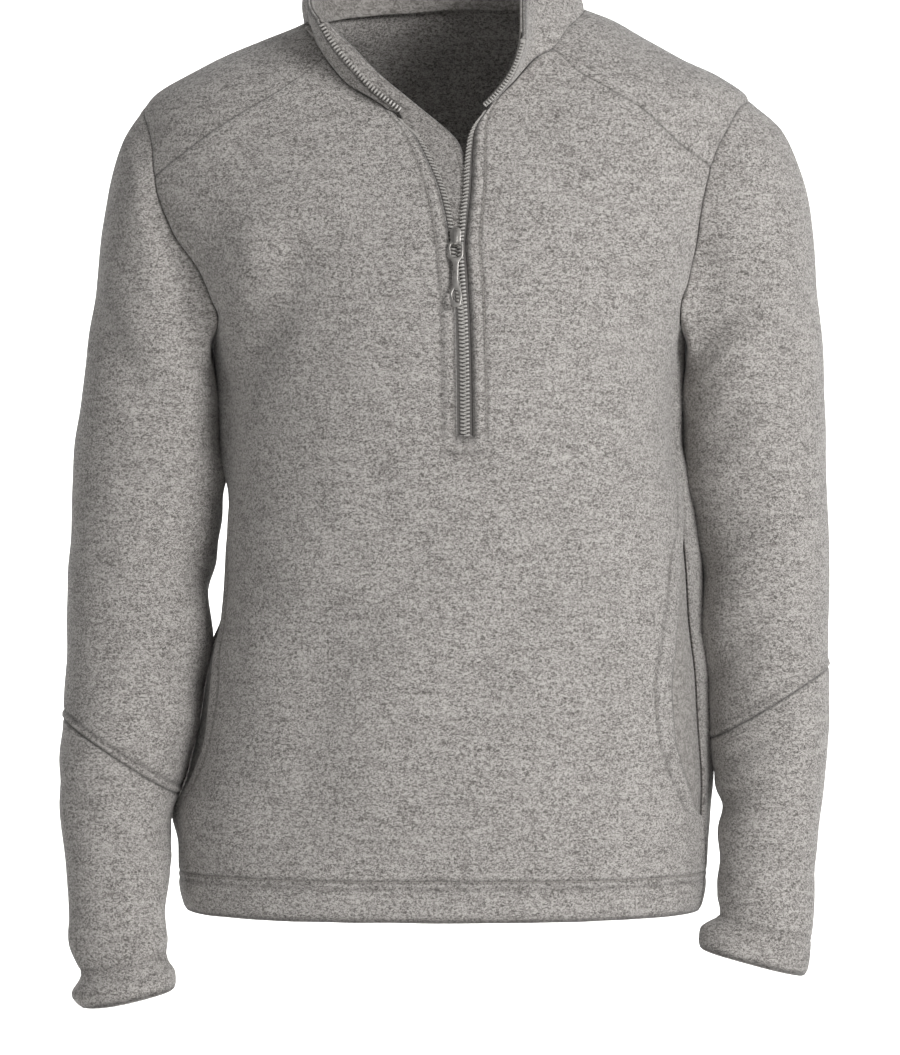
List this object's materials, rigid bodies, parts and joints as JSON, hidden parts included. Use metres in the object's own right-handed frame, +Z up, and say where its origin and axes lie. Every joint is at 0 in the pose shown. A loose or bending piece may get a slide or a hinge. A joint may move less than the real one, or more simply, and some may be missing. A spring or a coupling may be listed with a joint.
{
  "type": "quarter-zip fleece pullover",
  "caption": "Worn quarter-zip fleece pullover with a stand-up collar, forward shoulder seams, diagonal forearm seams and side pockets.",
  "frame": {"origin": "between the shoulders, level with the top of the shoulder at the side of the neck, where the wearer's shoulders hold the garment", "axes": "+Z up, -Y the way the wearer faces, +X towards the wearer's left"},
  "size_m": [0.5902, 0.2773, 0.8429],
  "materials": {
    "fleece": "heather grey sweater-knit face with a soft nap",
    "inner_fleece": "brushed inside of the fleece",
    "zip_tape": "woven polyester tape",
    "zip_metal": "satin painted zinc"
  },
  "bodies": {
    "garment": {"front_panel": "fleece", "back_panel": "fleece", "right_upper_sleeve": "fleece", "right_forearm_sleeve": "fleece", "left_upper_sleeve": "fleece", "left_forearm_sleeve": "fleece", "collar_outer": "fleece", "collar_inner": "inner_fleece", "right_pocket_bag": "inner_fleece", "left_pocket_bag": "inner_fleece", "zip_guard": "fleece", "zip_tape_right": "zip_tape", "zip_tape_left": "zip_tape", "zip_tape_collar_right": "zip_tape", "zip_tape_collar_left": "zip_tape", "zip_slider": "zip_metal"},
    "pull": {"zip_pull_tab": "zip_metal"}
  },
  "joints": [
    {"name": "pull_tab_hinge", "type": "hinge", "parent": "garment", "child": "pull", "pos_m": [0.0042, -0.13623, -0.19003], "axis": [-1, 0, 0], "range_deg": [0, 150]}
  ]
}
